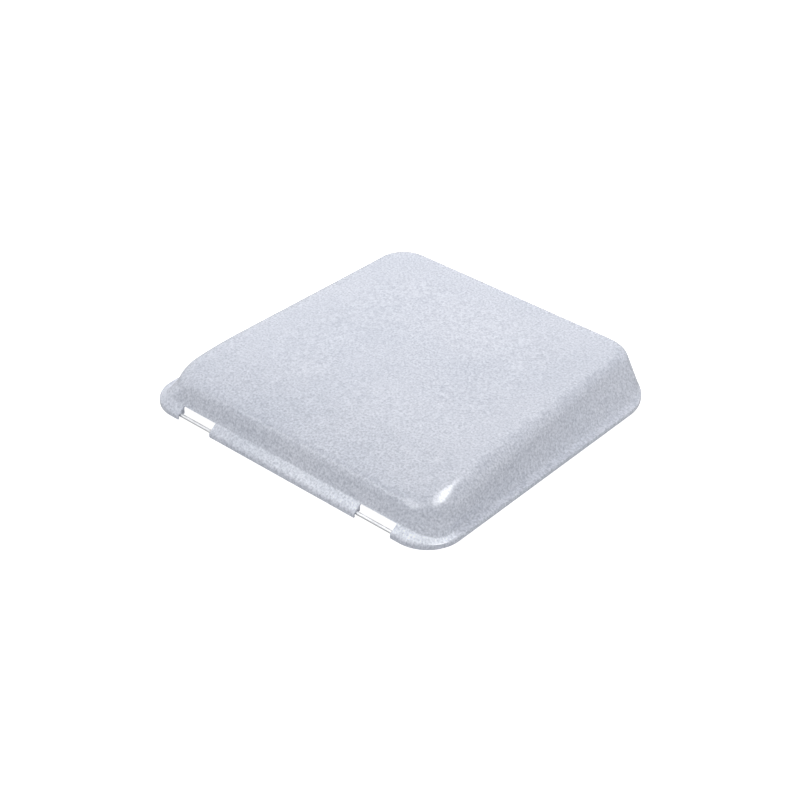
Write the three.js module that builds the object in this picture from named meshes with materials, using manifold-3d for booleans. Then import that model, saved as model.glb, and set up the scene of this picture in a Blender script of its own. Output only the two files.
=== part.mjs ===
// Roof vent cover for a 14 inch (356 mm) caravan roof opening: a moulded lid that swings on a steel hinge rod,
// with the slide track that the vent's lift arm runs in, its screws, and a foam weather seal.
// Millimetres, +Z up. X runs along the hinge rod, +Y from the hinge edge to the opening edge.
// The origin is the middle of the closed lid's footprint, on the plane that the rim rests on.
import * as THREE from "three";
import { mergeVertices } from "three/addons/utils/BufferGeometryUtils.js";
import Module from "manifold-3d";

const wasm = await Module();
wasm.setup();

// ---- driving dimensions -------------------------------------------------------------------------------------
const WIDTH = 400; // along the hinge rod
const DEPTH = 381; // hinge edge to opening edge
const WALL = 2; // moulded wall thickness
const LIP_HEIGHT = 4.9; // the rim's upright outer face
const LIP_RADIUS = 1.4;
const TOP_HEIGHT = 43.3; // of the top's edge; its middle stands CROWN higher
const CROWN = 2.4;
const HINGE_EDGE = -DEPTH / 2;
const NOSE = { from: -69.6, drop: 13.1 }; // ahead of this line the top falls away towards the hinge edge

// skirt: width of the sloping rim. foot: height where it meets the wall. run: how far the wall would lean in
// before it met the top. shoulder: radius that eases the wall into the top. The two side walls change along
// their length, from steep and very round by the hinge to leaning and tighter by the opening edge.
const SIDES = {
  hinge: { skirt: 11.3, foot: 13.2, run: 9.5, shoulder: 13 },
  sideByHinge: { skirt: 9.7, foot: 6.2, run: 5.3, shoulder: 26 },
  sideByFar: { skirt: 9.7, foot: 6.2, run: 25.5, shoulder: 14.7 },
  far: { skirt: 3.4, foot: 8.5, run: 3, shoulder: 8 },
};
// Plan radius of the corners at the rim, the wall's foot and the shoulder.
const CORNERS = { rim: { hinge: 41, far: 61 }, foot: { hinge: 25, far: 43 }, dome: { hinge: 40, far: 31 } };
const CORNER_STEPS = 7;
const STRAIGHT_STEPS = 8;
const SHOULDER_STEPS = 6;

const ROD_RADIUS = 1.98; // 5/32 inch rod
const ROD_HALF_LENGTH = 160.5;
const ROD_CLEARANCE = 0.35; // radial, in the moulded clips
const ROD_Y = HINGE_EDGE + 5.2;
const ROD_HEIGHT = 3.2;
const NOTCH = { from: 100.5, to: 147.5, depth: 11.3 }; // where the vent's hinge knuckles reach the rod
const CLIP = { places: [-152, -96, -47, 0, 47, 96, 152], thick: 4, floor: 0.6 };

const TRACK = { length: 170, width: 26, height: 12, gauge: 1.3, slot: 10.4, centreY: 6, top: 36 };
const TAB = { length: 24, width: 46, holeX: 15, holeRadius: 2.3 };
const STOP_LENGTH = 10;
const BOSS_RADIUS = 5;
const SCREW = { shank: 1.9, reach: 8.4, head: 4.1, headHeight: 2.6 };
const WASHER = { outer: 5, inner: 2.2, thick: 0.9 };
const SHOE = { width: 21, length: 30, height: 7.6, neck: 9.2, lugLength: 22, lugDrop: 13, bossRadius: 5, boss: 0.8 };
const PIN = { radius: 2.4, reach: 15, headRadius: 4.4, headThick: 1.8, drop: 7.5 };
const PIN_CLIP = { thick: 0.9, width: 3, fromTip: 3 };
const SEAL = { thick: 7, aboveFoot: 3, height: 8, hingeHalf: 132, farHalf: 128, sideFrom: -118, sideTo: 130 };
const SIDE_BLEND = 145; // a side wall changes from one profile to the other between -145 and 145
const GAP = 0.3; // between pieces that touch
const SEAL_GAP = 1.6; // the adhesive behind a seal strip

// ---- materials ----------------------------------------------------------------------------------------------
const material = (color, roughness, metalness) => new THREE.MeshStandardMaterial({ color, roughness, metalness });
const LID_PLASTIC = material(0xd3d7e2, 0.42, 0);
const ZINC_STEEL = material(0xa9adb0, 0.35, 1);
const GALVANISED = material(0x9da2a6, 0.45, 1);
const NYLON = material(0xe6e3d8, 0.5, 0);
const FOAM = material(0x3b3d40, 0.95, 0);

// ---- solids -------------------------------------------------------------------------------------------------
function solidFrom(geometry) {
  const source = geometry.clone();
  source.deleteAttribute("normal");
  source.deleteAttribute("uv");
  const merged = mergeVertices(source, 1e-4);
  return new wasm.Manifold(
    new wasm.Mesh({
      numProp: 3,
      vertProperties: new Float32Array(merged.attributes.position.array),
      triVerts: new Uint32Array(merged.index.array),
    }),
  );
}

function geometryFrom(solid) {
  const mesh = solid.getMesh();
  const geometry = new THREE.BufferGeometry();
  geometry.setAttribute("position", new THREE.BufferAttribute(new Float32Array(mesh.vertProperties), 3));
  geometry.setIndex(new THREE.BufferAttribute(new Uint32Array(mesh.triVerts), 1));
  return geometry;
}

// A box from its lowest corner to its highest corner.
const boxGeometry = ([x0, y0, z0], [x1, y1, z1]) =>
  new THREE.BoxGeometry(x1 - x0, y1 - y0, z1 - z0).translate((x0 + x1) / 2, (y0 + y1) / 2, (z0 + z1) / 2);
const block = (low, high) => solidFrom(boxGeometry(low, high));

function uprightCylinder(radius, x, y, z0, z1, sides = 20) {
  const cylinder = new THREE.CylinderGeometry(radius, radius, z1 - z0, sides).rotateX(Math.PI / 2);
  return solidFrom(cylinder.translate(x, y, (z0 + z1) / 2));
}

function lengthwiseCylinder(radius, x0, x1, y, z, sides = 24) {
  const cylinder = new THREE.CylinderGeometry(radius, radius, x1 - x0, sides).rotateZ(Math.PI / 2);
  return solidFrom(cylinder.translate((x0 + x1) / 2, y, z));
}

// A closed outline, given as [radius, height] pairs, turned about Z.
const turned = (outline, sides = 18) =>
  new THREE.LatheGeometry(outline.map(([r, z]) => new THREE.Vector2(r, z)), sides).rotateX(Math.PI / 2);

// ---- the lid's shell: rounded rectangles stacked into an outer and an inner skin ----------------------------
function topHeight(y) {
  const ahead = THREE.MathUtils.clamp((NOSE.from - y) / (NOSE.from - HINGE_EDGE), 0, 1);
  return TOP_HEIGHT - NOSE.drop * ahead * ahead;
}
const perSide = (f) => Object.fromEntries(Object.entries(SIDES).map(([name, side]) => [name, f(side)]));

// One ring, counter-clockwise from above. Each side has its own inset and height; they blend round the corners.
// A height is above the resting plane, or, with belowTop, below the top.
function ring({ inset, height, radius, belowTop = false }) {
  const rightByHinge = WIDTH / 2 - inset.sideByHinge;
  const rightByFar = WIDTH / 2 - inset.sideByFar;
  const hinge = HINGE_EDGE + inset.hinge;
  const far = DEPTH / 2 - inset.far;
  const corners = [
    [rightByHinge - radius.hinge, hinge + radius.hinge, radius.hinge, 270, "hinge", "sideByHinge"],
    [rightByFar - radius.far, far - radius.far, radius.far, 0, "sideByFar", "far"],
    [-rightByFar + radius.far, far - radius.far, radius.far, 90, "far", "sideByFar"],
    [-rightByHinge + radius.hinge, hinge + radius.hinge, radius.hinge, 180, "sideByHinge", "hinge"],
  ];
  const points = corners.flatMap(([x, y, r, startDegrees, from, to]) =>
    Array.from({ length: CORNER_STEPS + 1 }, (_, i) => {
      const share = i / CORNER_STEPS;
      const angle = THREE.MathUtils.degToRad(startDegrees + 90 * share);
      const h = THREE.MathUtils.lerp(height[from], height[to], THREE.MathUtils.smoothstep(share, 0, 1));
      return [x + r * Math.cos(angle), y + r * Math.sin(angle), h];
    }),
  );
  const closed = points.flatMap((point, i) => {
    const next = points[(i + 1) % points.length];
    const steps = i % (CORNER_STEPS + 1) === CORNER_STEPS ? STRAIGHT_STEPS : 1;
    const along = (step) => point.map((value, axis) => THREE.MathUtils.lerp(value, next[axis], step / steps));
    return Array.from({ length: steps }, (_, step) => along(step));
  });
  return closed.map(([x, y, h]) => [x, y, belowTop ? topHeight(y) - h : h]);
}

const shrunk = (radius, by) => ({ hinge: radius.hinge - by, far: radius.far - by });

// The directions in which a side's skirt and wall climb inwards, as angles above the level.
const skirtAngle = (side) => Math.atan2(side.foot - LIP_HEIGHT, side.skirt);
const nominalTop = (side) => (side === SIDES.hinge ? topHeight(HINGE_EDGE + side.skirt + side.run) : TOP_HEIGHT);
const wallAngle = (side) => Math.atan2(nominalTop(side) - side.foot, side.run);

// Where a profile's corner, [inset, height], comes to when both lines that meet in it move inwards by depth.
function sunkCorner([inset, height], angleBefore, angleAfter, depth) {
  const share = depth / (1 + Math.cos(angleAfter - angleBefore));
  return [
    inset + share * (Math.sin(angleBefore) + Math.sin(angleAfter)),
    height - share * (Math.cos(angleBefore) + Math.cos(angleAfter)),
  ];
}
const lipCorner = (side, depth) => sunkCorner([0, LIP_HEIGHT], Math.PI / 2, skirtAngle(side), depth);
const footCorner = (side, depth) => sunkCorner([side.skirt, side.foot], skirtAngle(side), wallAngle(side), depth);

// The rim of one skin: up its outer face, then along the sloping skirt to the wall's foot.
function rimRings(depth) {
  const rim = (inset, height) =>
    ring({ inset: perSide(() => inset), height: perSide(height), radius: shrunk(CORNERS.rim, inset) });
  const lip = depth
    ? [rim(depth, (side) => lipCorner(side, depth)[1])]
    : [
        rim(0, () => LIP_HEIGHT - LIP_RADIUS),
        rim(LIP_RADIUS * 0.3, () => LIP_HEIGHT - LIP_RADIUS * 0.3),
        rim(LIP_RADIUS, (side) => LIP_HEIGHT + LIP_RADIUS * Math.tan(skirtAngle(side))),
      ];
  const foot = ring({
    inset: perSide((side) => footCorner(side, depth)[0]),
    height: perSide((side) => footCorner(side, depth)[1]),
    radius: shrunk(CORNERS.foot, depth),
  });
  return [rim(depth, () => 0), ...lip, foot];
}

// Where the shoulder's arc is centred, as an inset, and so where the top begins.
const shoulderInset = (side) => side.skirt + side.run + side.shoulder * Math.tan(wallAngle(side) / 2);

// From the top of the wall round the shoulder and up to the crown.
function domeRings(depth) {
  const shoulder = Array.from({ length: SHOULDER_STEPS + 1 }, (_, i) => {
    const lean = (side) => wallAngle(side) * (1 - i / SHOULDER_STEPS);
    return ring({
      inset: perSide((side) => shoulderInset(side) - (side.shoulder - depth) * Math.sin(lean(side))),
      height: perSide((side) => side.shoulder - (side.shoulder - depth) * Math.cos(lean(side))),
      radius: shrunk(CORNERS.dome, depth),
      belowTop: true,
    });
  });
  const top = [[30, 0.35], [75, 0.75]].map(([further, rise]) =>
    ring({
      inset: perSide((side) => shoulderInset(side) + further),
      height: perSide(() => depth - CROWN * rise),
      radius: CORNERS.dome,
      belowTop: true,
    }),
  );
  return [...shoulder, ...top];
}

const crownPoint = (depth) => [0, 0, topHeight(0) + CROWN - depth];

// A solid whose surface runs through the rings in turn, closed at both ends by a fan to a point.
function loft(rings, firstPoint, lastPoint) {
  const count = rings[0].length;
  const positions = [firstPoint, ...rings.flat(), lastPoint];
  const last = positions.length - 1;
  const faces = [];
  for (let i = 0; i < count; i++) {
    const next = (i + 1) % count;
    faces.push(0, 1 + next, 1 + i);
    for (let k = 0; k + 1 < rings.length; k++) {
      const a = 1 + k * count + i;
      const b = 1 + k * count + next;
      faces.push(a, b, b + count, a, b + count, a + count);
    }
    faces.push(last - count + i, last - count + next, last);
  }
  const geometry = new THREE.BufferGeometry();
  geometry.setAttribute("position", new THREE.Float32BufferAttribute(positions.flat(), 3));
  geometry.setIndex(faces);
  return solidFrom(geometry);
}

const outerRings = [...rimRings(0), ...domeRings(0)];
const innerRings = [...rimRings(WALL), ...domeRings(WALL)];
const filledLid = () => loft(outerRings, [0, 0, 0], crownPoint(0));
const hollowLid = () => loft([...[...innerRings].reverse(), ...outerRings], crownPoint(WALL), crownPoint(0));

// Moulded clips under the hinge skirt: the rod snaps up into them from below, and the end walls trap it.
function rodClips() {
  const innerY = HINGE_EDGE + SIDES.hinge.skirt + WALL;
  const rib = (x0, x1) => block([x0, HINGE_EDGE + WALL / 2, CLIP.floor], [x1, innerY, SIDES.hinge.foot]);
  const clips = CLIP.places.map((x) => rib(x - CLIP.thick / 2, x + CLIP.thick / 2));
  const endWalls = [-1, 1].map((side) => {
    const middle = side * (ROD_HALF_LENGTH + 1.7);
    return rib(middle - 1.2, middle + 1.2);
  });
  const trimTo = filledLid();
  return [...clips, ...endWalls].map((solid) => solid.intersect(trimTo));
}

const WASHER_TOP = TRACK.top - TRACK.gauge - GAP;
const SCREW_SEAT = WASHER_TOP - WASHER.thick - GAP;
const screwPlaces = [-1, 1].flatMap((end) =>
  [-1, 1].map((side) => ({
    x: side * TAB.holeX,
    y: TRACK.centreY + end * (TRACK.length / 2 + TAB.length / 2),
  })),
);

function lidShell() {
  let shell = hollowLid();
  for (const clip of rodClips()) shell = shell.add(clip);
  for (const { x, y } of screwPlaces) {
    const intoTop = topHeight(y) + CROWN / 4; // short of the outer skin, past the inner one
    shell = shell.add(uprightCylinder(BOSS_RADIUS, x, y, TRACK.top + GAP, intoTop));
    shell = shell.subtract(uprightCylinder(SCREW.shank + GAP, x, y, TRACK.top, SCREW_SEAT + SCREW.reach + GAP));
  }
  const bore = ROD_RADIUS + ROD_CLEARANCE;
  const boreHalf = ROD_HALF_LENGTH + GAP;
  shell = shell.subtract(lengthwiseCylinder(bore, -boreHalf, boreHalf, ROD_Y, ROD_HEIGHT));
  const mouth = ROD_RADIUS - 0.2;
  shell = shell.subtract(block([-boreHalf, ROD_Y - mouth, -1], [boreHalf, ROD_Y + mouth, ROD_HEIGHT]));
  for (const side of [-1, 1]) {
    const [x0, x1] = [side * NOTCH.from, side * NOTCH.to].sort((a, b) => a - b);
    const above = SIDES.hinge.foot + 1;
    shell = shell.subtract(block([x0, HINGE_EDGE - 1, -1], [x1, HINGE_EDGE + NOTCH.depth, above]));
  }
  return geometryFrom(shell);
}

// ---- hinge rod ----------------------------------------------------------------------------------------------
function hingeRod() {
  const chamfer = 0.5;
  const end = ROD_HALF_LENGTH;
  const outline = [
    [0, -end], [ROD_RADIUS - chamfer, -end], [ROD_RADIUS, chamfer - end],
    [ROD_RADIUS, end - chamfer], [ROD_RADIUS - chamfer, end], [0, end],
  ];
  return turned(outline, 24).rotateY(Math.PI / 2);
}

// ---- slide track: a lipped steel channel, open below, with a screw tab at each end ----------------------------
function slideTrack() {
  const { length, width, height, gauge, slot, top } = TRACK;
  const [y0, y1] = [TRACK.centreY - length / 2, TRACK.centreY + length / 2];
  let track = block([-width / 2, y0, top - height], [width / 2, y1, top]);
  const inside = width / 2 - gauge;
  track = track.subtract(block([-inside, y0 - 1, top - height + gauge], [inside, y1 + 1, top - gauge]));
  track = track.subtract(block([-slot / 2, y0 - 1, top - height - 1], [slot / 2, y1 + 1, top - height + 2]));
  for (const [a, b] of [[y0 - TAB.length, y0 + 1], [y1 - 1, y1 + TAB.length]]) {
    track = track.add(block([-TAB.width / 2, a, top - gauge], [TAB.width / 2, b, top]));
  }
  for (const { x, y } of screwPlaces) {
    track = track.subtract(uprightCylinder(TAB.holeRadius, x, y, top - gauge - 1, top + 1));
  }
  return geometryFrom(track);
}

// Nylon plug pressed into each end of the track, so that the shoe can't leave it.
function trackStop() {
  const half = TRACK.width / 2 - TRACK.gauge - GAP;
  const floor = TRACK.top - TRACK.height + TRACK.gauge + GAP;
  const ceiling = TRACK.top - TRACK.gauge - GAP;
  return boxGeometry([-half, -STOP_LENGTH / 2, floor], [half, STOP_LENGTH / 2, ceiling]);
}

function screw() {
  const { shank, reach, head, headHeight } = SCREW;
  const tip = reach - 0.2;
  return turned([
    [0, -headHeight], [head * 0.62, -headHeight], [head * 0.9, -headHeight * 0.75], [head, -headHeight * 0.35],
    [head, 0], [shank, 0], [shank, tip - 1.4], [shank * 0.45, tip], [0, tip],
  ]);
}

function washer() {
  const { outer, inner, thick } = WASHER;
  return turned([[inner, 0], [outer, 0], [outer, thick], [inner, thick], [inner, 0]]);
}

// ---- slide shoe: runs in the track and carries the pin that the vent's lift arm hooks on -----------------------
const TRACK_MOUTH = TRACK.top - TRACK.height;
const SHOE_FLOOR = TRACK_MOUTH + TRACK.gauge + 0.4;
const SHOE_Y = TRACK.centreY;
const PIN_HEIGHT = TRACK_MOUTH - PIN.drop;

function slideShoe() {
  const { width, length, height, neck, lugLength, lugDrop, bossRadius, boss } = SHOE;
  const [ceiling, lugFloor] = [SHOE_FLOOR + height, TRACK_MOUTH - lugDrop];
  const [halfLength, halfLug] = [length / 2, lugLength / 2];
  const slider = block([-width / 2, SHOE_Y - halfLength, SHOE_FLOOR], [width / 2, SHOE_Y + halfLength, ceiling]);
  const lug = block([-neck / 2, SHOE_Y - halfLug, lugFloor], [neck / 2, SHOE_Y + halfLug, SHOE_FLOOR + 1]);
  const cheek = neck / 2 + boss;
  const bosses = lengthwiseCylinder(bossRadius, -cheek, cheek, SHOE_Y, PIN_HEIGHT);
  const pinHole = lengthwiseCylinder(PIN.radius + 0.15, -neck, neck, SHOE_Y, PIN_HEIGHT);
  return geometryFrom(slider.add(lug).add(bosses).subtract(pinHole));
}

// Stub pin with a flat head on one side; the free end takes the lift arm's eye, behind a push-on clip.
function armPin() {
  const { radius, reach, headRadius, headThick } = PIN;
  const head = -SHOE.neck / 2 - SHOE.boss - GAP;
  const outline = [
    [0, head - headThick], [headRadius, head - headThick], [headRadius, head],
    [radius, head], [radius, reach - 0.7], [radius - 0.7, reach], [0, reach],
  ];
  return turned(outline, 24).rotateY(Math.PI / 2);
}

function pinClip() {
  const inner = PIN.radius + 0.15;
  const outer = inner + PIN_CLIP.width;
  const { thick } = PIN_CLIP;
  return turned([[inner, 0], [outer, 0], [outer, thick], [inner, thick], [inner, 0]], 24).rotateY(Math.PI / 2);
}

// ---- foam weather seal: four strips stuck to the inside of the wall, leaning with it ---------------------------
// The inner face of one side's wall at a place along Y, as the [inset, height] of its foot and of its top.
function innerWall(side, y) {
  const lean = wallAngle(side);
  const radius = side.shoulder - WALL;
  const top = [
    shoulderInset(side) - radius * Math.sin(lean),
    topHeight(y) - side.shoulder + radius * Math.cos(lean),
  ];
  return [footCorner(side, WALL), top];
}

// The same for a side wall, between its two profiles.
function innerSideWall(y) {
  const share = (y + SIDE_BLEND) / (2 * SIDE_BLEND);
  const [byHinge, byFar] = [SIDES.sideByHinge, SIDES.sideByFar].map((side) => innerWall(side, y));
  return byHinge.map((point, i) => point.map((value, j) => THREE.MathUtils.lerp(value, byFar[i][j], share)));
}

const insetAt = ([[foot, z0], [top, z1]], height) => THREE.MathUtils.mapLinear(height, z0, z1, foot, top);

// A strip along X or Y with its near face against the wall. outward is the side of the lid that it is on.
// wallAt gives the inner face of the wall at a place along the strip.
function leaningStrip(axis, outward, foot, [from, to], wallAt) {
  const halfLid = (axis === "x" ? DEPTH : WIDTH) / 2;
  const strip = new THREE.BoxGeometry(1, 1, 1);
  const position = strip.attributes.position;
  for (let i = 0; i < position.count; i++) {
    const [x, y] = [position.getX(i), position.getY(i)];
    const [along, cross] = axis === "x" ? [x, y] : [y, x];
    const length = along < 0 ? from : to;
    const z = foot + SEAL.aboveFoot + (position.getZ(i) < 0 ? 0 : SEAL.height);
    const fromWall = SEAL_GAP + (cross * outward > 0 ? 0 : SEAL.thick);
    const place = outward * (halfLid - insetAt(wallAt(length), z) - fromWall);
    position.setXYZ(i, axis === "x" ? length : place, axis === "x" ? place : length, z);
  }
  return strip;
}

function sealStrips() {
  const { hinge, sideByFar, far } = SIDES;
  const across = (outward, side, half) =>
    leaningStrip("x", outward, side.foot, [-half, half], () => innerWall(side, (outward * DEPTH) / 2));
  const alongside = (outward) =>
    leaningStrip("y", outward, sideByFar.foot, [SEAL.sideFrom, SEAL.sideTo], innerSideWall);
  return {
    seal_hinge_side: across(-1, hinge, SEAL.hingeHalf),
    seal_opening_side: across(1, far, SEAL.farHalf),
    seal_left: alongside(-1),
    seal_right: alongside(1),
  };
}

// ---- assembly ----------------------------------------------------------------------------------------------
const ventCover = new THREE.Group();
function place(name, geometry, finish, x = 0, y = 0, z = 0) {
  const mesh = new THREE.Mesh(geometry, finish);
  mesh.name = name;
  mesh.position.set(x, y, z);
  ventCover.add(mesh);
}

place("lid_shell", lidShell(), LID_PLASTIC);
place("hinge_rod", hingeRod(), ZINC_STEEL, 0, ROD_Y, ROD_HEIGHT);
place("slide_track", slideTrack(), GALVANISED);
const stopY = (TRACK.length - STOP_LENGTH) / 2 - 1;
place("track_stop_hinge_end", trackStop(), NYLON, 0, TRACK.centreY - stopY);
place("track_stop_far_end", trackStop(), NYLON, 0, TRACK.centreY + stopY);
screwPlaces.forEach(({ x, y }, i) => {
  place(`track_washer_${i + 1}`, washer(), ZINC_STEEL, x, y, WASHER_TOP - WASHER.thick);
  place(`track_screw_${i + 1}`, screw(), ZINC_STEEL, x, y, SCREW_SEAT);
});
place("slide_shoe", slideShoe(), NYLON);
place("arm_pin", armPin(), ZINC_STEEL, 0, SHOE_Y, PIN_HEIGHT);
place("arm_pin_clip", pinClip(), ZINC_STEEL, PIN.reach - PIN_CLIP.fromTip, SHOE_Y, PIN_HEIGHT);
for (const [name, geometry] of Object.entries(sealStrips())) place(name, geometry, FOAM);

export default ventCover;
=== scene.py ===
"""Looks of the roof vent cover: a finely meshed lid and its fittings, built round the CAD frame."""
import math

import bmesh
import bpy
import numpy as np
from mathutils import Matrix, Vector


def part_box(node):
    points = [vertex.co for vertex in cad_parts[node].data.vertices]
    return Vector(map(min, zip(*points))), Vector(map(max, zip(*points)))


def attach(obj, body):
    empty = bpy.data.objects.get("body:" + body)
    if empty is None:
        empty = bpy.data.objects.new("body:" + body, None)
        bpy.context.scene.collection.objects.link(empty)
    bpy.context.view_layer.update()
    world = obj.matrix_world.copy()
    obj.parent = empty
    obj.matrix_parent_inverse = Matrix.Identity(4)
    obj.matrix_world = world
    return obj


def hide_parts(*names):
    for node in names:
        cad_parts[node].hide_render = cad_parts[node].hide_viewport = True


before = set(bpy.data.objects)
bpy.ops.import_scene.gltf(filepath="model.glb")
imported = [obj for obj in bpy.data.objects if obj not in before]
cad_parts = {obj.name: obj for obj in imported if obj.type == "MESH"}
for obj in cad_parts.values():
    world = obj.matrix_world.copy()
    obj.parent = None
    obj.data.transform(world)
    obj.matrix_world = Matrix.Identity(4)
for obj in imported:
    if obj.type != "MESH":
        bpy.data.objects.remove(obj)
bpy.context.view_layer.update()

MM = 0.001

# ---- driving dimensions, in millimetres ----------------------------------------------------------
WIDTH = 400
DEPTH = 381
WALL = 2
LIP_HEIGHT = 4.9
LIP_ROUND = 1.4
TOP_HEIGHT = 43.3
CROWN = 2.4
HINGE_EDGE = -DEPTH / 2
# The top falls away towards the hinge edge, from this far forward and by this much.
NOSE_FROM, NOSE_DROP = -69.6, 13.1
# Each side: skirt width, height of the wall's foot, how far the wall leans in, shoulder radius.
SIDES = {
    "hinge": (11.3, 13.2, 9.5, 13.0),
    "side_by_hinge": (9.7, 6.2, 5.3, 26.0),
    "side_by_far": (9.7, 6.2, 25.5, 14.7),
    "far": (3.4, 8.5, 3.0, 8.0),
}
RIM_CORNER = {"hinge": 41, "far": 61}
FOOT_CORNER = {"hinge": 25, "far": 43}
DOME_CORNER = {"hinge": 40, "far": 31}
FOOT_ROUND = 3.0
EDGE_ROUND = 0.35
INNER_LIP_ROUND = 0.5
INNER_FOOT_ROUND = 0.8

# Painted light: the skirt is painted paler ahead of HEM_BACK, where it fades in, and more so towards
# the right, where light falls on it.
HEM_BACK, HEM_FADE = -143, 14
HEM_MIDDLE, HEM_RISE, HEM_REACH, HEM_LEAST = 0.6, 0.4, 150, 0.15

ROD_Y = HINGE_EDGE + 5.2
ROD_HEIGHT = 3.2
ROD_BORE = 2.33
ROD_MOUTH = 1.78
NOTCH_FROM, NOTCH_TO = 100.5, 147.5
CLIP_PLACES = (-152, -96, -47, 0, 47, 96, 152)
END_WALL_AT = 162.2
CLIP_THICK = 4.0
END_WALL_THICK = 2.4
CLIP_FLOOR = 0.6
CLIP_FRONT = 1.4
CLIP_BACK = 1.2
CLIP_EMBED = 0.7
BORE_STEPS = 22
SCREW_BOSS = 5.0
SCREW_HOLE = 2.2
TRACK_TOP = 36.0
SCREW_PLACES = [(x, y) for y in (-91, 103) for x in (-15, 15)]
BOSS_GAP = 0.3
BOSS_CHAMFER = 0.4
BOSS_FLARE = 1.0
HOLE_BELOW_TOP = 1.6

# Pan-head screws, measured up from the head.
HEAD_RADIUS, HEAD_FACE, HEAD_HEIGHT = 4.05, 2.0, 2.6
THREAD_CORE, THREAD_RADIUS, THREAD_PITCH = 1.5, 1.88, 0.9
THREAD_FROM, THREAD_TO = 2.9, 10.2
RECESS_WIDTH = 0.8
RECESS = [(-2.1, -0.5), (2.1, -0.5), (1.2, 1.5), (-1.2, 1.5)]
WASHER_BORE, WASHER_RADIUS = 2.2, 4.97

# Arm pin: head, shank, and the groove for its clip, measured back from the end.
PIN_HEAD, PIN_HEAD_LENGTH, PIN_SHANK, PIN_GROOVE = 4.35, 1.8, 2.38, 2.2
GROOVE_FROM, GROOVE_TO = 4.5, 1.8
PIN_TAPER = 0.1

# Push-on clip: a ring whose teeth grip the pin.
CLIP_TEETH, CLIP_TOOTH_STEPS, CLIP_TOOTH_WIDTH = 8, 6, 4
TOOTH_RADIUS, GAP_RADIUS, CLIP_SHEET = 2.56, 3.9, 0.34
TOOTH_LIFT, GAP_LIFT = 0.5, 0.15

# How finely the lid is divided.
CORNER_STEPS = 20
SIDE_STEPS = 26
SHOULDER_STEPS = 14
ROUND_STEPS = 5
# Rings of the bottom edge and the lip, below the skirt.
LIP_RINGS = 3 + ROUND_STEPS
# Places of the columns along the hinge edge, from left to right; the notches' ends are among them.
RIGHT_COLUMNS = [11, 22, 33, 44, 56, 68, 80, 92, NOTCH_FROM, 108, 116, 124, 132, 140, NOTCH_TO]
HINGE_COLUMNS = [*(-x for x in reversed(RIGHT_COLUMNS)), 0, *RIGHT_COLUMNS]
# Distances in from the shoulder of the rings on the top, and how far the rest lie to the middle.
TOP_RINGS = (8, 18, 32, 50, 72, 98)
MIDDLE_RINGS = (0.3, 0.6, 0.85)
CROWN_REACH = 170
CROWN_POWER = 2.2
RIM_STRAIGHT = WIDTH / 2 - RIM_CORNER["hinge"]


# ---- rings of the lid ----------------------------------------------------------------------------
def top_height(y):
    """Height of the top without its crown."""
    ahead = np.clip((NOSE_FROM - y) / (NOSE_FROM - HINGE_EDGE), 0, 1)
    return TOP_HEIGHT - NOSE_DROP * ahead * ahead


def skirt_angle(side):
    skirt, foot, _, _ = SIDES[side]
    return math.atan2(foot - LIP_HEIGHT, skirt)


def wall_angle(side):
    skirt, foot, run, _ = SIDES[side]
    top = float(top_height(HINGE_EDGE + skirt + run)) if side == "hinge" else TOP_HEIGHT
    return math.atan2(top - foot, run)


def shoulder_inset(side):
    skirt, _, run, shoulder = SIDES[side]
    return skirt + run + shoulder * math.tan(wall_angle(side) / 2)


def sunk_corner(inset, height, before, after, depth):
    """A corner of the section between slopes before and after, moved depth into the sheet."""
    share = depth / (1 + math.cos(after - before))
    return (
        inset + share * (math.sin(before) + math.sin(after)),
        height - share * (math.cos(before) + math.cos(after)),
    )


def sunk_foot(side, depth):
    skirt, foot, _, _ = SIDES[side]
    return sunk_corner(skirt, foot, skirt_angle(side), wall_angle(side), depth)


def arc(x, y, radius, start):
    angles = np.radians(start + 90 * np.linspace(0, 1, CORNER_STEPS + 1))
    return np.stack([x + radius * np.cos(angles), y + radius * np.sin(angles)], 1)


def ring(inset, height, radius, below_top=False):
    """Points round the lid, counter-clockwise from above; with below_top, height is depth under it."""
    by_hinge = WIDTH / 2 - inset["side_by_hinge"]
    by_far = WIDTH / 2 - inset["side_by_far"]
    hinge = HINGE_EDGE + inset["hinge"]
    far = DEPTH / 2 - inset["far"]
    r_hinge, r_far = radius["hinge"], radius["far"]
    corners = (
        (by_hinge - r_hinge, hinge + r_hinge, r_hinge, 270, "hinge", "side_by_hinge"),
        (by_far - r_far, far - r_far, r_far, 0, "side_by_far", "far"),
        (-by_far + r_far, far - r_far, r_far, 90, "far", "side_by_far"),
        (-by_hinge + r_hinge, hinge + r_hinge, r_hinge, 180, "side_by_hinge", "hinge"),
    )
    blend = np.linspace(0, 1, CORNER_STEPS + 1)
    blend = blend * blend * (3 - 2 * blend)
    parts = []
    for x, y, r, start, before, after in corners:
        heights = height[before] + (height[after] - height[before]) * blend
        parts.append(np.column_stack([arc(x, y, r, start), heights]))
    points = []
    shares = np.linspace(0, 1, SIDE_STEPS + 1)[1:-1, None]
    for i, part in enumerate(parts):
        points.append(part)
        end, following = part[-1], parts[(i + 1) % 4][0]
        if i == 3:
            half = following[0]
            columns = np.array(HINGE_COLUMNS) * (half / RIM_STRAIGHT if below_top else 1)
            across = np.full(len(columns), hinge)
            straight = np.column_stack([columns, across, np.full(len(columns), end[2])])
        else:
            straight = end + (following - end) * shares
        points.append(straight)
    result = np.concatenate(points)
    if below_top:
        result[:, 2] = top_height(result[:, 1]) - result[:, 2]
    return result


def per_side(function):
    return {side: function(side) for side in SIDES}


def shrunk(radius, by):
    return {end: value - by for end, value in radius.items()}


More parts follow.
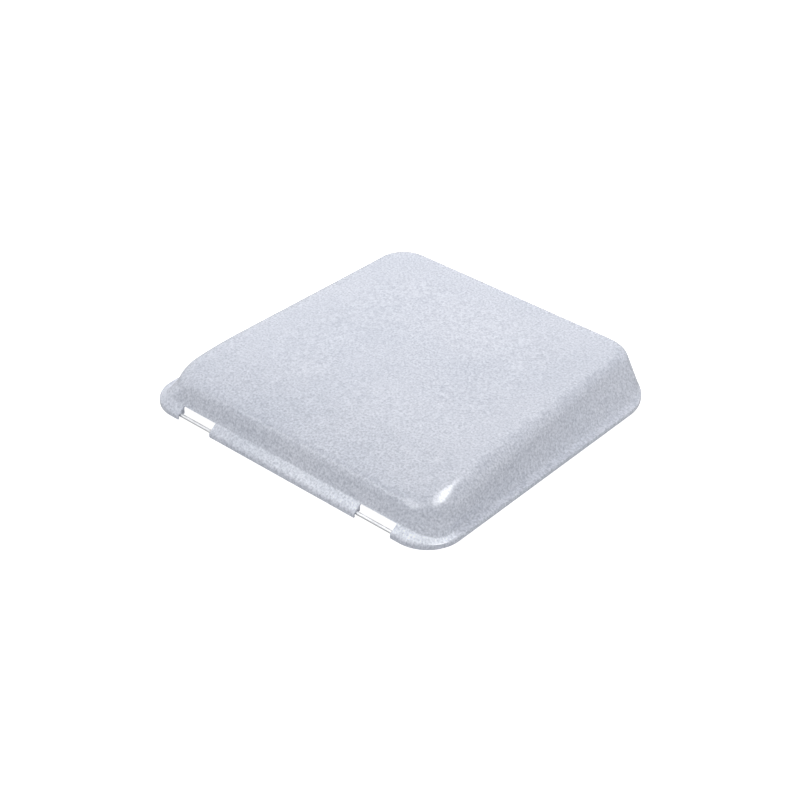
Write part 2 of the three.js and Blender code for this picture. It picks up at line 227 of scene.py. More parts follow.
def rounded(before, corner, after, length):
    """Rings that round a corner ring off, starting and ending length millimetres from it."""

    def towards(target):
        step = target - corner
        distance = np.linalg.norm(step, axis=1, keepdims=True)
        return corner + step * np.minimum(length / np.maximum(distance, 1e-6), 0.45)

    start, end = towards(before), towards(after)
    shares = np.linspace(0, 1, ROUND_STEPS)
    return [start * (1 - t) ** 2 + corner * 2 * t * (1 - t) + end * t * t for t in shares]


def between(first, second, count):
    return [first + (second - first) * t for t in np.linspace(0, 1, count + 2)[1:-1]]


def rim_rings(depth):
    """Bottom edge, top of the lip and foot of the wall, for the skin depth inside the outer one."""

    def rim(inset, height):
        return ring(per_side(lambda side: inset), per_side(height), shrunk(RIM_CORNER, inset))

    bottom = rim(depth, lambda side: 0)
    lip = rim(
        depth, lambda side: sunk_corner(0, LIP_HEIGHT, math.pi / 2, skirt_angle(side), depth)[1]
    )
    sunk = per_side(lambda side: sunk_foot(side, depth))
    inset = per_side(lambda side: sunk[side][0])
    height = per_side(lambda side: sunk[side][1])
    foot = ring(inset, height, shrunk(FOOT_CORNER, depth))
    return bottom, lip, foot


def dome_rings(depth):
    """From the top of the wall round the shoulder."""
    rings = []
    for i in range(SHOULDER_STEPS + 1):
        share = 1 - i / SHOULDER_STEPS
        inset, height = {}, {}
        for side in SIDES:
            shoulder = SIDES[side][3]
            lean = wall_angle(side) * share
            inset[side] = shoulder_inset(side) - (shoulder - depth) * math.sin(lean)
            height[side] = shoulder - (shoulder - depth) * math.cos(lean)
        rings.append(ring(inset, height, shrunk(DOME_CORNER, depth), below_top=True))
    return rings


def crown_share(distance):
    """How much of the crown's rise is reached at a distance in from the shoulder."""
    return 1 - (1 - min(distance, CROWN_REACH) / CROWN_REACH) ** CROWN_POWER


def top_rings(depth):
    """From the shoulder in over the crown."""
    rings = []
    for further in TOP_RINGS:
        inset = per_side(lambda side: shoulder_inset(side) + further)
        height = per_side(lambda side: depth - CROWN * crown_share(further))
        rings.append(ring(inset, height, DOME_CORNER, below_top=True))
    middle = np.zeros(3)
    last = rings[-1]
    risen = crown_share(TOP_RINGS[-1])
    for share in MIDDLE_RINGS:
        inner = last + (middle - last) * share
        rise = risen + (1 - risen) * (1 - (1 - share) ** 2)
        inner[:, 2] = top_height(inner[:, 1]) - depth + CROWN * rise
        rings.append(inner)
    return rings


def notch_ring(lip, foot, depth):
    """The ring on a skin's skirt that lies straight under the outer foot at the hinge edge."""
    share = (SIDES["hinge"][0] - depth) / (sunk_foot("hinge", depth)[0] - depth)
    return lip + (foot - lip) * share


def skin(depth):
    """Rings of one skin from its bottom edge to the crown, and the one that the notches reach."""
    bottom, lip, foot = rim_rings(depth)
    dome = dome_rings(depth)
    # The bottom edge is rounded over in three rings, from the one nearest the other skin.
    outer_skin = depth == 0
    edge_inset = depth + (EDGE_ROUND if outer_skin else -EDGE_ROUND)
    edge_height = np.array([0, 0, EDGE_ROUND])
    toward_other = ring(
        per_side(lambda side: edge_inset), per_side(lambda side: 0), shrunk(RIM_CORNER, edge_inset)
    )
    halfway = bottom + edge_height * 0.3 + (toward_other - bottom) * 0.3
    rings = [toward_other, halfway, bottom + edge_height]
    rings += rounded(bottom, lip, foot, LIP_ROUND if outer_skin else INNER_LIP_ROUND)
    if outer_skin:
        foot_round = rounded(lip, foot, dome[0], FOOT_ROUND)
        rings += between(rings[-1], foot_round[0], 2)
        cut = len(rings) + 1
        rings += foot_round
    else:
        last = notch_ring(lip, foot, depth)
        rings += between(rings[-1], last, 2)
        cut = len(rings)
        rings.append(last)
        rings += rounded(lip, foot, dome[0], INNER_FOOT_ROUND)
    rings += between(rings[-1], dome[0], 3)
    rings += dome
    rings += top_rings(depth)
    return rings, cut


# ---- mesh helpers --------------------------------------------------------------------------------
def new_object(name, mesh):
    obj = bpy.data.objects.new(name, mesh)
    bpy.context.scene.collection.objects.link(obj)
    return obj


def mesh_from(name, points, faces):
    mesh = bpy.data.meshes.new(name)
    mesh.from_pydata([tuple(p * MM for p in point) for point in points], [], faces)
    mesh.update()
    return mesh


def smooth_by_angle(obj, degrees):
    obj.data.shade_smooth()
    obj.data.set_sharp_from_angle(angle=math.radians(degrees))


def apply_modifiers(obj):
    graph = bpy.context.evaluated_depsgraph_get()
    mesh = bpy.data.meshes.new_from_object(obj.evaluated_get(graph))
    old = obj.data
    obj.modifiers.clear()
    obj.data = mesh
    bpy.data.meshes.remove(old)


def bevelled(obj, width, segments=2, degrees=40):
    bevel = obj.modifiers.new("bevel", "BEVEL")
    bevel.width = width * MM
    bevel.segments = segments
    bevel.limit_method = "ANGLE"
    bevel.angle_limit = math.radians(degrees)
    apply_modifiers(obj)


def faced_out(mesh, limit=None):
    """Turns all faces outwards, and splits those with more corners than limit into triangles."""
    work = bmesh.new()
    work.from_mesh(mesh)
    bmesh.ops.recalc_face_normals(work, faces=work.faces)
    if limit:
        bmesh.ops.triangulate(work, faces=[face for face in work.faces if len(face.verts) > limit])
    work.to_mesh(mesh)
    work.free()


def turned(name, outline, sides=40, axis="z"):
    """A closed solid turned from [radius, height] pairs; ends that aren't on the axis are joined."""
    points, faces, rows = [], [], []
    for radius, height in outline:
        if radius < 1e-6:
            rows.append([len(points)])
            points.append((0, 0, height))
            continue
        rows.append(list(range(len(points), len(points) + sides)))
        for i in range(sides):
            angle = 2 * math.pi * i / sides
            points.append((radius * math.cos(angle), radius * math.sin(angle), height))
    if len(rows[0]) > 1:
        rows.append(rows[0])
    for low, high in zip(rows, rows[1:]):
        for i in range(sides):
            j = (i + 1) % sides
            quad = [low[i % len(low)], low[j % len(low)], high[j % len(high)], high[i % len(high)]]
            face = list(dict.fromkeys(quad))
            if len(face) > 2:
                faces.append(face)
    mesh = mesh_from(name, points, faces)
    if axis == "x":
        mesh.transform(Matrix.Rotation(math.pi / 2, 4, "Y"))
    faced_out(mesh)
    return new_object(name, mesh)


def extruded(name, outline, thickness, along="x"):
    """A closed outline of [a, height] pairs, a along the other level axis, pushed out to both sides."""
    count = len(outline)
    points = []
    for end in (-thickness / 2, thickness / 2):
        for a, height in outline:
            points.append((end, a, height) if along == "x" else (a, end, height))
    faces = [list(range(count)), list(range(2 * count - 1, count - 1, -1))]
    faces += [[i, (i + 1) % count, count + (i + 1) % count, count + i] for i in range(count)]
    mesh = mesh_from(name, points, faces)
    faced_out(mesh, limit=4)
    return new_object(name, mesh)


def joined(objects):
    """Several objects as one at the origin, each staying a closed solid of its own."""
    work = bmesh.new()
    for obj in objects:
        obj.data.transform(obj.matrix_world)
        obj.matrix_world = Matrix.Identity(4)
        work.from_mesh(obj.data)
    work.to_mesh(objects[0].data)
    work.free()
    for obj in objects[1:]:
        bpy.data.objects.remove(obj)
    return objects[0]


def softened(node, name, width, segments=2, degrees=40):
    """A copy of a CAD node with its edges rounded, standing for it."""
    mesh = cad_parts[node].data.copy()
    mesh.name = name
    work = bmesh.new()
    work.from_mesh(mesh)
    bmesh.ops.remove_doubles(work, verts=work.verts, dist=1e-6)
    bmesh.ops.dissolve_limit(work, angle_limit=math.radians(1), verts=work.verts, edges=work.edges)
    work.to_mesh(mesh)
    work.free()
    if "custom_normal" in mesh.attributes:
        mesh.attributes.remove(mesh.attributes["custom_normal"])
    obj = new_object(name, mesh)
    bevelled(obj, width, segments, degrees)
    smooth_by_angle(obj, 35)
    return obj


def shown_as(obj, body, slot, material, *nodes):
    """Puts an object on a body, in place of the CAD nodes named."""
    obj.data.materials.clear()
    obj.data.materials.append(material)
    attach(obj, body)
    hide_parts(*nodes)
    return obj


# ---- materials -----------------------------------------------------------------------------------
class Nodes:
    """A material's node tree with short ways to add and join nodes."""

    def __init__(self, name, metallic=0.0, **settings):
        self.material = bpy.data.materials.new(name)
        self.material.use_nodes = True
        self.tree = self.material.node_tree
        self.shader = self.tree.nodes["Principled BSDF"]
        self.shader.inputs["Metallic"].default_value = metallic
        for socket, value in settings.items():
            self.shader.inputs[socket.replace("_", " ")].default_value = value
        self.place = self.tree.nodes.new("ShaderNodeTexCoord").outputs["Object"]

    def link(self, source, target):
        self.tree.links.new(source, target)

    def stretched(self, scale):
        mapping = self.tree.nodes.new("ShaderNodeMapping")
        mapping.inputs["Scale"].default_value = scale
        self.link(self.place, mapping.inputs["Vector"])
        return mapping.outputs["Vector"]

    def noise(self, size, detail=3.0, roughness=0.55, stretch=None):
        """Noise whose blotches are about size millimetres across."""
        node = self.tree.nodes.new("ShaderNodeTexNoise")
        node.inputs["Scale"].default_value = 1 / (size * MM)
        node.inputs["Detail"].default_value = detail
        node.inputs["Roughness"].default_value = roughness
        self.link(self.stretched(stretch) if stretch else self.place, node.inputs["Vector"])
        return node.outputs["Fac"]

    def cells(self, size, feature="F1"):
        """Cells about size millimetres across."""
        node = self.tree.nodes.new("ShaderNodeTexVoronoi")
        node.feature = feature
        node.inputs["Scale"].default_value = 1 / (size * MM)
        self.link(self.place, node.inputs["Vector"])
        return node

    def ramp(self, source, *stops):
        """Colours or grey values at places from 0 to 1."""
        node = self.tree.nodes.new("ShaderNodeValToRGB")
        elements = node.color_ramp.elements
        while len(elements) < len(stops):
            elements.new(0.5)
        for element, (position, value) in zip(elements, stops):
            element.position = position
            element.color = (*value, 1) if isinstance(value, tuple) else (value, value, value, 1)
        self.link(source, node.inputs["Fac"])
        return node.outputs["Color"]

    def mixed(self, factor, first, second, kind="MIX"):
        node = self.tree.nodes.new("ShaderNodeMix")
        node.data_type = "RGBA"
        node.blend_type = kind
        sockets = {"Factor": factor, "A": first, "B": second}
        for name, value in sockets.items():
            socket = node.inputs[name]
            if isinstance(value, (int, float)):
                socket.default_value = value
            elif isinstance(value, tuple):
                socket.default_value = (*value, 1)
            else:
                self.link(value, socket)
        return node.outputs["Result"]

    def colour(self, source):
        self.link(source, self.shader.inputs["Base Color"])

    def rough(self, source):
        self.link(source, self.shader.inputs["Roughness"])

    def bump(self, source, depth, strength=1.0):
        """Adds relief of about depth millimetres on top of what is already there."""
        node = self.tree.nodes.new("ShaderNodeBump")
        node.inputs["Distance"].default_value = depth * MM
        node.inputs["Strength"].default_value = strength
        self.link(source, node.inputs["Height"])
        normal = self.shader.inputs["Normal"]
        if normal.is_linked:
            self.link(normal.links[0].from_socket, node.inputs["Normal"])
        self.link(node.outputs["Normal"], normal)


LID_PALE = (0.755, 0.784, 0.87)
LID_DEEP = (0.455, 0.482, 0.56)
VEIL = (0.94, 0.95, 0.96)
# Painted light: how much paler the skirt along the hinge edge is painted where light falls on it.
HEM_PAINTED_LIGHT = (1.40, 1.40, 1.36)
HEM_ROUGH = (0.6, 0.6, 0.6)
SPECK = (0.30, 0.32, 0.35)
ZINC_DEEP, ZINC_PALE = (0.50, 0.51, 0.53), (0.68, 0.69, 0.71)
ROD_DEEP, ROD_PALE = (0.62, 0.63, 0.65), (0.80, 0.81, 0.83)
SPANGLE_DEEP, SPANGLE_PALE = (0.42, 0.44, 0.45), (0.62, 0.63, 0.65)
SPANGLE_DULL = (0.8, 0.8, 0.8)
SPRING_DEEP, SPRING_PALE = (0.22, 0.225, 0.24), (0.40, 0.41, 0.43)
NYLON_DEEP, NYLON_PALE = (0.70, 0.68, 0.60), (0.80, 0.78, 0.71)
FOAM_DEEP, FOAM_PALE = (0.018, 0.019, 0.021), (0.062, 0.064, 0.07)
WHITE = (1.0, 1.0, 1.0)


def lid_plastic():
    """Moulded sheet: mottled pale blue-grey and finely stippled; the hem is painted paler as painted
    light, and is more matt.
    """
    nodes = Nodes("lid_plastic", Specular_IOR_Level=0.5)
    mottle = nodes.noise(2.3, detail=2, roughness=0.6)
    clouds = nodes.noise(90, detail=2)
    pale = nodes.ramp(mottle, (0.32, LID_DEEP), (0.68, LID_PALE))
    veiled = nodes.ramp(clouds, (0.35, VEIL), (0.65, WHITE))
    mottled = nodes.mixed(1.0, pale, veiled, "MULTIPLY")
    # Painted light: the hem mask paints the skirt along the hinge edge paler, more so towards the
    # right, where light falls on it.
    painted_light_hem = nodes.tree.nodes.new("ShaderNodeAttribute")
    painted_light_hem.attribute_name = "painted_light_hem"
    painted_light_colour = nodes.mixed(1.0, mottled, HEM_PAINTED_LIGHT, "MULTIPLY")
    # Specks are so small and far apart that hardly one shows.
    speck = nodes.cells(38)
    near = nodes.ramp(speck.outputs["Distance"], (0.0, 1.0), (0.018, 0.8), (0.035, 0.0))
    few = nodes.ramp(speck.outputs["Color"], (0.62, 0.0), (0.66, 1.0))
    dotted = nodes.mixed(nodes.mixed(1.0, near, few, "MULTIPLY"), mottled, SPECK)
    painted_light_share = nodes.ramp(painted_light_hem.outputs["Fac"], (0, 0.0), (1, 1.0))
    nodes.colour(nodes.mixed(painted_light_share, dotted, painted_light_colour))
    sheen = nodes.ramp(nodes.noise(14, detail=4), (0.3, 0.22), (0.7, 0.30))
    nodes.rough(nodes.mixed(painted_light_share, sheen, HEM_ROUGH))
    nodes.bump(nodes.noise(1.3, detail=2, roughness=0.5), 0.05, 0.35)
    nodes.bump(nodes.noise(55, detail=1), 0.5, 0.25)
    return nodes.material


def zinc_steel():
    """Zinc-plated fittings with fine drawn streaks."""
    nodes = Nodes("zinc_steel", metallic=1.0)
    streaks = nodes.noise(1.2, detail=5, stretch=(0.03, 1, 1))
    nodes.colour(nodes.ramp(streaks, (0.3, ZINC_DEEP), (0.7, ZINC_PALE)))
    nodes.rough(nodes.ramp(nodes.noise(5, detail=5), (0.3, 0.28), (0.7, 0.46)))
    nodes.bump(streaks, 0.03, 0.4)
    return nodes.material


def bright_zinc_rod():
    """Drawn rod with a bright zinc coat: fine lines along it and dull patches."""
    nodes = Nodes("bright_zinc_rod", metallic=1.0)
    lines = nodes.noise(0.6, detail=4, stretch=(0.02, 1, 1))
    nodes.colour(nodes.ramp(lines, (0.3, ROD_DEEP), (0.7, ROD_PALE)))
    nodes.rough(nodes.ramp(nodes.noise(6, detail=5), (0.3, 0.42), (0.7, 0.58)))
    nodes.bump(lines, 0.02, 0.3)
    return nodes.material


def galvanised_steel():
    """Sheet with the flat crystals of hot-dip zinc."""
    nodes = Nodes("galvanised_steel", metallic=1.0)
    crystals = nodes.cells(7)
    spangle = nodes.ramp(crystals.outputs["Color"], (0.2, SPANGLE_DEEP), (0.8, SPANGLE_PALE))
    dull = nodes.ramp(nodes.noise(18, detail=5), (0.35, SPANGLE_DULL), (0.65, WHITE))
    nodes.colour(nodes.mixed(1.0, spangle, dull, "MULTIPLY"))
    nodes.rough(nodes.ramp(crystals.outputs["Color"], (0.2, 0.36), (0.8, 0.54)))
    nodes.bump(nodes.noise(1.0, detail=4), 0.03, 0.4)
    return nodes.material


def spring_steel():
    """Dark hardened strip."""
    nodes = Nodes("spring_steel", metallic=1.0)
    nodes.colour(nodes.ramp(nodes.noise(2.5, detail=5), (0.3, SPRING_DEEP), (0.7, SPRING_PALE)))
    nodes.rough(nodes.ramp(nodes.noise(1.5, detail=4), (0.3, 0.32), (0.7, 0.5)))
    nodes.bump(nodes.noise(0.6, detail=3), 0.02, 0.4)
    return nodes.material


def nylon():
    """Natural nylon, slightly waxy."""
    nodes = Nodes("nylon", Subsurface_Weight=0.15, Subsurface_Scale=0.002)
    nodes.colour(nodes.ramp(nodes.noise(9, detail=4), (0.3, NYLON_DEEP), (0.7, NYLON_PALE)))
    nodes.rough(nodes.ramp(nodes.noise(2, detail=4), (0.3, 0.42), (0.7, 0.58)))
    nodes.bump(nodes.noise(0.7, detail=3), 0.04, 0.4)
    return nodes.material


def foam():
    """Closed-cell foam: dark, matt, with open pores where it was cut."""
    nodes = Nodes("foam", Sheen_Weight=0.25, Sheen_Roughness=0.6)
    pores = nodes.cells(1.1, "SMOOTH_F1").outputs["Distance"]
    nodes.colour(nodes.ramp(pores, (0.1, FOAM_DEEP), (0.6, FOAM_PALE)))
    nodes.rough(nodes.ramp(nodes.noise(3, detail=3), (0.3, 0.85), (0.7, 0.98)))
    nodes.bump(pores, 0.35, 0.6)
    return nodes.material


# ---- the lid -------------------------------------------------------------------------------------
def lid_shell_mesh():
    """Outer and inner skins with the notches cut out of the skirt and their edges closed."""
    outer, outer_cut = skin(0)
    inner, inner_cut = skin(WALL)
    count = len(outer[0])
    crown = TOP_HEIGHT + CROWN
    points = np.concatenate([*outer, *inner, [[0, 0, crown]], [[0, 0, crown - WALL]]])
    inner_start = len(outer) * count
    outer_middle = len(points) - 2
    inner_middle = len(points) - 1
    # A ring ends with the hinge edge's columns, after the last corner.
    start = count - len(HINGE_COLUMNS)

    def at(ring_index, column, inside=False):
        return (inner_start if inside else 0) + ring_index * count + column % count

    cut_spans = []
    for low, high in ((-NOTCH_TO, -NOTCH_FROM), (NOTCH_FROM, NOTCH_TO)):
        cut_spans.append((start + HINGE_COLUMNS.index(low), start + HINGE_COLUMNS.index(high)))
    cut_columns = {column for first, last in cut_spans for column in range(first, last)}

    faces = []
    for column in range(count):
        following = column + 1
        for inside, rings, cut in ((False, outer, outer_cut), (True, inner, inner_cut)):
            for k in range(len(rings) - 1):
                if column in cut_columns and k < cut:
                    continue
                quad = [at(k, column, inside), at(k, following, inside)]
                quad += [at(k + 1, following, inside), at(k + 1, column, inside)]
                faces.append(quad[::-1] if inside else quad)
            last = len(rings) - 1
            middle = inner_middle if inside else outer_middle
            cap = [at(last, column, inside), at(last, following, inside), middle]
            faces.append(cap[::-1] if inside else cap)
        low_ring = (outer_cut, inner_cut) if column in cut_columns else (0, 0)
        faces.append([
            at(low_ring[0], following), at(low_ring[0], column),
            at(low_ring[1], column, True), at(low_ring[1], following, True),
        ])
    for first, last in cut_spans:
        for column, facing_right in ((first, True), (last, False)):
            section = [at(k, column) for k in range(outer_cut + 1)]
            section += [at(k, column, True) for k in range(inner_cut, -1, -1)]
            faces.append(section if facing_right else section[::-1])
    mesh = mesh_from("lid_shell_mesh", points, faces)
    # Painted light: a mask that paints the skirt along the hinge edge paler, fading in ahead of
    # HEM_BACK and rising towards the right.
    painted_light_hem = np.zeros(len(points))
    skirt = slice(LIP_RINGS * count, (outer_cut + 1) * count)
    x, y = points[skirt, 0], points[skirt, 1]
    painted_light_rise = np.clip(HEM_MIDDLE + HEM_RISE * x / HEM_REACH, HEM_LEAST, 1)
    painted_light_hem[skirt] = np.clip((HEM_BACK - y) / HEM_FADE, 0, 1) * painted_light_rise
    mesh.attributes.new("painted_light_hem", "FLOAT", "POINT").data.foreach_set("value", painted_light_hem)
    return mesh


def rib_outline():
    """Section across the rod of a rib that is sunk a little into the skirt above it."""
    slope = skirt_angle("hinge")

    def top(y):
        return LIP_HEIGHT + (y - HINGE_EDGE) * math.tan(slope) - WALL / math.cos(slope) + CLIP_EMBED

    near, back = HINGE_EDGE + CLIP_FRONT, HINGE_EDGE + (SIDES["hinge"][0] + CLIP_BACK)
    return [(near, CLIP_FLOOR), (near, top(near)), (back, top(back)), (back, CLIP_FLOOR)]


def clip_outline():
    """The rib with a bore for the rod that opens downwards."""
    outline = rib_outline()
    half_turn = math.acos(ROD_MOUTH / ROD_BORE)
    outline.append((ROD_Y + ROD_MOUTH, CLIP_FLOOR))
    for angle in np.linspace(-half_turn, math.pi + half_turn, BORE_STEPS):
        outline.append((ROD_Y + ROD_BORE * math.cos(angle), ROD_HEIGHT + ROD_BORE * math.sin(angle)))
    outline.append((ROD_Y - ROD_MOUTH, CLIP_FLOOR))
    return outline


def rod_clips():
    """Snap-in clips along the rod and a plain wall past each of its ends."""
    ribs = [(x, clip_outline(), CLIP_THICK) for x in CLIP_PLACES]
    ribs.insert(0, (-END_WALL_AT, rib_outline(), END_WALL_THICK))
    ribs.append((END_WALL_AT, rib_outline(), END_WALL_THICK))
    clips = []
    for x, outline, thick in ribs:
        clip = extruded(f"rod_clip_{len(clips)}", outline, thick)
        clip.location.x = x * MM
        clips.append(clip)
    bpy.context.view_layer.update()
    obj = joined(clips)
    bevelled(obj, 0.2, 1, 50)
    return obj


def screw_bosses():
    """Four round posts under the top, each with a blind hole."""
    bosses = []
    for x, y in SCREW_PLACES:
        top = float(top_height(y)) + CROWN / 4
        low = TRACK_TOP + BOSS_GAP
        hole_end = top - HOLE_BELOW_TOP
        outline = [
            (SCREW_HOLE, low), (SCREW_BOSS - BOSS_CHAMFER, low), (SCREW_BOSS, low + BOSS_CHAMFER),
            (SCREW_BOSS, top - 2.2), (SCREW_BOSS + 0.6, top - 1.2), (SCREW_BOSS + BOSS_FLARE, top),
            (0, top), (0, hole_end), (SCREW_HOLE, hole_end),
        ]
        boss = turned(f"screw_boss_{len(bosses)}", outline, 32)
        boss.location = (x * MM, y * MM, 0)
        bosses.append(boss)
    bpy.context.view_layer.update()
    return joined(bosses)


def build_lid(material):
    """The moulded lid with its clips and bosses."""
    shell = new_object("moulded_lid", lid_shell_mesh())
    bevelled(shell, 0.22, 2, 55)
    smooth_by_angle(shell, 38)
    shown_as(shell, "lid", "lid_plastic", material, "lid_shell")
    clips = rod_clips()
    clips.name = "moulded_rod_clips"
    smooth_by_angle(clips, 35)
    shown_as(clips, "lid", "lid_plastic", material)
    bosses = screw_bosses()
    bosses.name = "moulded_screw_bosses"
    smooth_by_angle(bosses, 35)
    shown_as(bosses, "lid", "lid_plastic", material)


# ---- hinge rod and fittings ----------------------------------------------------------------------
def build_rod(material):
    """Plain rod with rounded ends."""
    low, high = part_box("hinge_rod")
    radius = (high.z - low.z) / 2 / MM - 0.01
    half = (high.x - low.x) / 2 / MM
    outline = [(0, -half), (radius - 0.7, -half), (radius - 0.2, -half + 0.25), (radius, -half + 0.7)]
    outline += [(radius, x) for x in np.linspace(-half + 8, half - 8, 24)]
    outline += [(radius, half - 0.7), (radius - 0.2, half - 0.25), (radius - 0.7, half), (0, half)]
    rod = turned("steel_hinge_rod", outline, 40, axis="x")
    rod.location = (low + high) / 2
    smooth_by_angle(rod, 35)
    shown_as(rod, "hinge_rod", "zinc_steel", material, "hinge_rod")


def cut_cross_recess(screw, turn):
    """A tapered slot, cut twice at right angles into the underside of the head."""
    cutters = []
    for angle in (0, 90):
        cutter = extruded(f"cutter_{angle}", RECESS, RECESS_WIDTH, along="y")
        cutter.rotation_euler.z = math.radians(angle + turn)
        cutters.append(cutter)
    bpy.context.view_layer.update()
    for cutter in cutters:
        cut = screw.modifiers.new("recess", "BOOLEAN")
        cut.operation = "DIFFERENCE"
        cut.solver = "EXACT"
        cut.object = cutter
    bpy.context.view_layer.update()
    apply_modifiers(screw)
    for cutter in cutters:
        bpy.data.objects.remove(cutter)


def build_screw(number, zinc):
    """Pan head with a cross recess, facing down."""
    low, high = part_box(f"track_screw_{number}")
    outline = [
        (0, 0), (2.4, 0.12), (3.3, 0.55), (3.85, 1.3), (HEAD_RADIUS, HEAD_FACE),
        (HEAD_RADIUS, HEAD_HEIGHT), (1.85, HEAD_HEIGHT),
    ]
    height = THREAD_FROM
    while height < THREAD_TO:
        outline += [(THREAD_CORE, height), (THREAD_RADIUS, height + 0.35), (THREAD_CORE, height + 0.7)]
        height += THREAD_PITCH
    outline += [(0.8, 10.7), (0, 10.95)]
    screw = turned(f"pan_head_screw_{number}", outline, 36)
    cut_cross_recess(screw, 20 * number)
    centre = (low + high) / 2
    screw.location = (centre.x, centre.y, low.z)
    smooth_by_angle(screw, 40)
    shown_as(screw, "lid", "zinc_steel", zinc, f"track_screw_{number}")


def build_washer(number, zinc):
    """Plain washer with eased edges."""
    low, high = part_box(f"track_washer_{number}")
    thick = (high.z - low.z) / MM
    outline = [
        (WASHER_BORE, 0.1), (2.3, 0), (4.8, 0), (WASHER_RADIUS, 0.15),
        (WASHER_RADIUS, thick - 0.15), (4.8, thick), (2.3, thick), (WASHER_BORE, thick - 0.1),
    ]
    washer = turned(f"plain_washer_{number}", outline, 40)
    washer.location = ((low.x + high.x) / 2, (low.y + high.y) / 2, low.z)
    smooth_by_angle(washer, 40)
    shown_as(washer, "lid", "zinc_steel", zinc, f"track_washer_{number}")


def build_screws(zinc):
    """The four screws of the track and their washers."""
    for number in range(1, 5):
        build_screw(number, zinc)
        build_washer(number, zinc)


def build_pin(zinc):
    """Headed pin with a groove for its clip near the other end."""
    low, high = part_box("arm_pin")
    centre = (low + high) / 2
    length = (high.x - low.x) / MM
    groove_from, groove_to = length - GROOVE_FROM, length - GROOVE_TO
    outline = [
        (0, 0), (3.4, 0.1), (4.1, 0.5), (PIN_HEAD, 1.0), (PIN_HEAD, 1.7), (4.2, PIN_HEAD_LENGTH),
        (PIN_SHANK, PIN_HEAD_LENGTH), (PIN_SHANK, groove_from), (PIN_GROOVE, groove_from + PIN_TAPER),
        (PIN_GROOVE, groove_to - PIN_TAPER), (PIN_SHANK, groove_to), (PIN_SHANK, length - 0.8),
        (2.1, length - 0.3), (1.7, length), (0, length),
    ]
    pin = turned("steel_arm_pin", outline, 40, axis="x")
    pin.location = (low.x, centre.y, centre.z)
    smooth_by_angle(pin, 35)
    shown_as(pin, "shoe", "zinc_steel", zinc, "arm_pin")


def build_pin_clip(spring):
    """Ring of thin sheet; its teeth reach further in and stand further out than the gaps."""
    low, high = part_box("arm_pin_clip")
    centre = (low + high) / 2
    outer = (high.z - low.z) / 2 / MM - 0.02
    sides = CLIP_TEETH * CLIP_TOOTH_STEPS
    points, faces = [], []
    for i in range(sides):
        angle = 2 * math.pi * i / sides
        tooth = i % CLIP_TOOTH_STEPS < CLIP_TOOTH_WIDTH
        bore = TOOTH_RADIUS if tooth else GAP_RADIUS
        lift = TOOTH_LIFT if tooth else GAP_LIFT
        for radius, x in ((bore, lift), (outer, 0.0), (outer, CLIP_SHEET), (bore, lift + CLIP_SHEET)):
            points.append((x, radius * math.cos(angle), radius * math.sin(angle)))
        following = (i + 1) % sides
        for a in range(4):
            b = (a + 1) % 4
            faces.append([4 * i + a, 4 * i + b, 4 * following + b, 4 * following + a])
    clip = new_object("star_clip", mesh_from("star_clip", points, faces))
    faced_out(clip.data)
    clip.location = (low.x, centre.y, centre.z)
    smooth_by_angle(clip, 30)
    shown_as(clip, "shoe", "spring_steel", spring, "arm_pin_clip")


def build_fittings(materials):
    """Track, stops, shoe and foam strips: the CAD nodes with their edges rounded."""
    track = softened("slide_track", "bent_slide_track", 0.55, 3, 50)
    shown_as(track, "lid", "galvanised_steel", materials["galvanised_steel"], "slide_track")
    for end in ("hinge_end", "far_end"):
        stop = softened(f"track_stop_{end}", f"nylon_stop_{end}", 0.7, 3)
        shown_as(stop, "lid", "nylon", materials["nylon"], f"track_stop_{end}")
    shoe = softened("slide_shoe", "nylon_slide_shoe", 0.5, 3, 50)
    shown_as(shoe, "shoe", "nylon", materials["nylon"], "slide_shoe")
    for place in ("hinge_side", "opening_side", "left", "right"):
        strip = softened(f"seal_{place}", f"foam_strip_{place}", 1.1, 3)
        shown_as(strip, "lid", "foam", materials["foam"], f"seal_{place}")


# ---- stage ---------------------------------------------------------------------------------------
AZIMUTH, ELEVATION = 41.69, 34.23
FLOOR_HALF = 9000
FLOOR_BELOW = 0.2
FLOOR_DEEP, FLOOR_PALE = (0.50, 0.50, 0.50), (0.52, 0.52, 0.52)
FLOOR_GLOW = 0.95
SKY_STRENGTH = 1.2
# Brightness of the sky at heights from -1, straight down, to 1, straight up.
SKY = [(-1, 0.4), (-0.1, 0.42), (0.05, 0.85), (0.45, 0.95), (0.75, 0.4), (1, 0.3)]
CAMERA_DISTANCE = 1.9485
CAMERA_TARGET = Vector((0, -0.03335, 0.030))
LENS = 84.2
SHIFT = (0.0202, -0.0180)


def direction(azimuth, elevation):
    """A unit vector; azimuth 0 looks from the hinge edge and grows to the right."""
    a, e = math.radians(azimuth), math.radians(elevation)
    return Vector((math.sin(a) * math.cos(e), -math.cos(a) * math.cos(e), math.sin(e)))


def add_camera():
    data = bpy.data.cameras.new("camera")
    data.lens = LENS
    data.sensor_width = 36
    data.shift_x, data.shift_y = SHIFT
    camera = new_object("camera", data)
    back = direction(AZIMUTH, ELEVATION)
    camera.location = CAMERA_TARGET + back * CAMERA_DISTANCE
    camera.rotation_euler = back.to_track_quat("Z", "Y").to_euler()
    bpy.context.scene.camera = camera


def add_softbox(
    name, azimuth, elevation, distance, size, power, roll=0, diffuse=True, glossy=True
):
    """An area light facing the middle: degrees, metres and watts."""
    data = bpy.data.lights.new(name, "AREA")
    data.shape = "RECTANGLE"
    data.size, data.size_y = size
    data.energy = power
    light = new_object(name, data)
    back = direction(azimuth, elevation)
    light.location = back * distance
    facing = back.to_track_quat("Z", "Y").to_matrix() @ Matrix.Rotation(math.radians(roll), 3, "Z")
    light.rotation_euler = facing.to_euler()
    light.visible_diffuse = diffuse
    light.visible_glossy = glossy


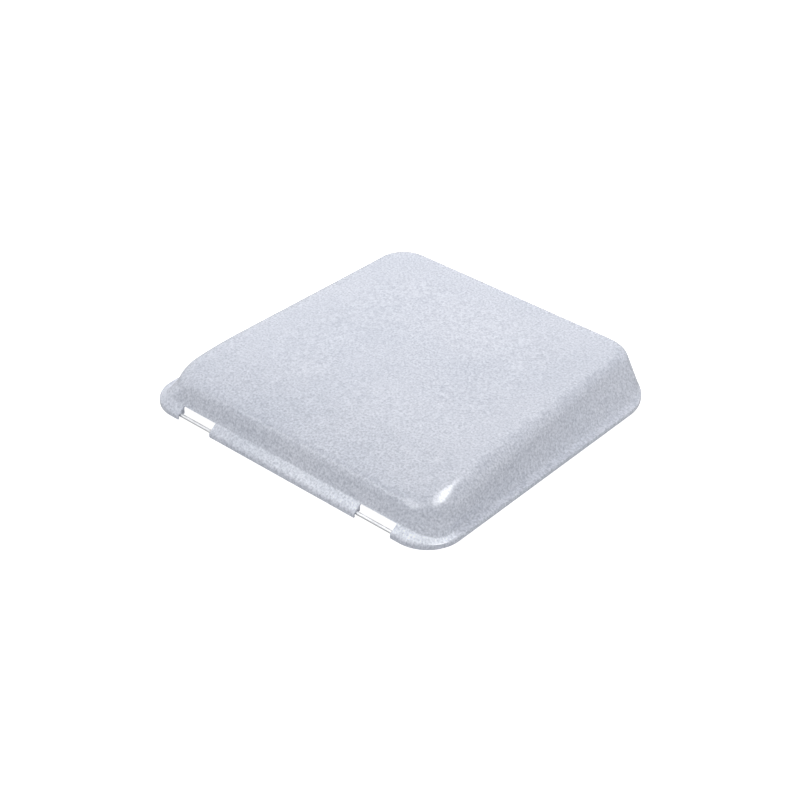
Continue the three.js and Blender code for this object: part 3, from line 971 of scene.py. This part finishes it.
def add_floor():
    """Pale paper that glows a little and is hidden from the object's own reflections."""
    nodes = Nodes("floor_paper", Specular_IOR_Level=0.2)
    nodes.colour(nodes.ramp(nodes.noise(300, detail=2), (0.3, FLOOR_DEEP), (0.7, FLOOR_PALE)))
    nodes.shader.inputs["Roughness"].default_value = 0.9
    nodes.shader.inputs["Emission Color"].default_value = (1, 1, 1, 1)
    nodes.shader.inputs["Emission Strength"].default_value = FLOOR_GLOW
    corners = [(a * FLOOR_HALF, b * FLOOR_HALF, 0) for a, b in ((-1, -1), (1, -1), (1, 1), (-1, 1))]
    floor = new_object("floor", mesh_from("floor", corners, [[0, 1, 2, 3]]))
    floor.location.z = -FLOOR_BELOW * MM
    floor.data.materials.append(nodes.material)
    floor.visible_diffuse = False
    floor.visible_glossy = False


def add_world():
    """A grey sky whose brightness depends on height alone."""
    world = bpy.data.worlds.new("studio")
    world.use_nodes = True
    tree = world.node_tree
    background = tree.nodes["Background"]
    background.inputs["Strength"].default_value = SKY_STRENGTH
    place = tree.nodes.new("ShaderNodeTexCoord").outputs["Generated"]
    split = tree.nodes.new("ShaderNodeSeparateXYZ")
    tree.links.new(place, split.inputs["Vector"])
    half = tree.nodes.new("ShaderNodeMath")
    half.operation = "MULTIPLY_ADD"
    half.inputs[1].default_value = 0.5
    half.inputs[2].default_value = 0.5
    tree.links.new(split.outputs["Z"], half.inputs[0])
    ramp = tree.nodes.new("ShaderNodeValToRGB")
    elements = ramp.color_ramp.elements
    while len(elements) < len(SKY):
        elements.new(0.5)
    for element, (height, grey) in zip(elements, SKY):
        element.position = (height + 1) / 2
        element.color = (grey, grey, grey, 1)
    tree.links.new(half.outputs[0], ramp.inputs["Fac"])
    tree.links.new(ramp.outputs["Color"], background.inputs["Color"])
    bpy.context.scene.world = world


def light_the_studio():
    add_world()
    add_softbox("key_from_behind", 222, 60, 2.2, (1.2, 1.2), 20, glossy=False)
    add_softbox("back_card", 222, 32, 2.2, (1.6, 0.9), 3, diffuse=False)
    add_softbox("corner_card", 118, 72, 1.8, (1.25, 0.4), 32, roll=22, diffuse=False)
    add_softbox("left_strip", -42, 42, 1.8, (0.7, 0.16), 1.6, diffuse=False)
    add_softbox("front_card", -6, 62, 1.8, (0.9, 0.9), 13, diffuse=False)
    view = bpy.context.scene.view_settings
    view.view_transform = "Standard"
    view.look = "None"


# ---- assembly ------------------------------------------------------------------------------------
makers = (lid_plastic, bright_zinc_rod, zinc_steel, galvanised_steel, spring_steel, nylon, foam)
materials = {maker.__name__: maker() for maker in makers}
build_lid(materials["lid_plastic"])
build_rod(materials["bright_zinc_rod"])
build_screws(materials["zinc_steel"])
build_pin(materials["zinc_steel"])
build_pin_clip(materials["spring_steel"])
build_fittings(materials)
add_floor()
light_the_studio()
add_camera()
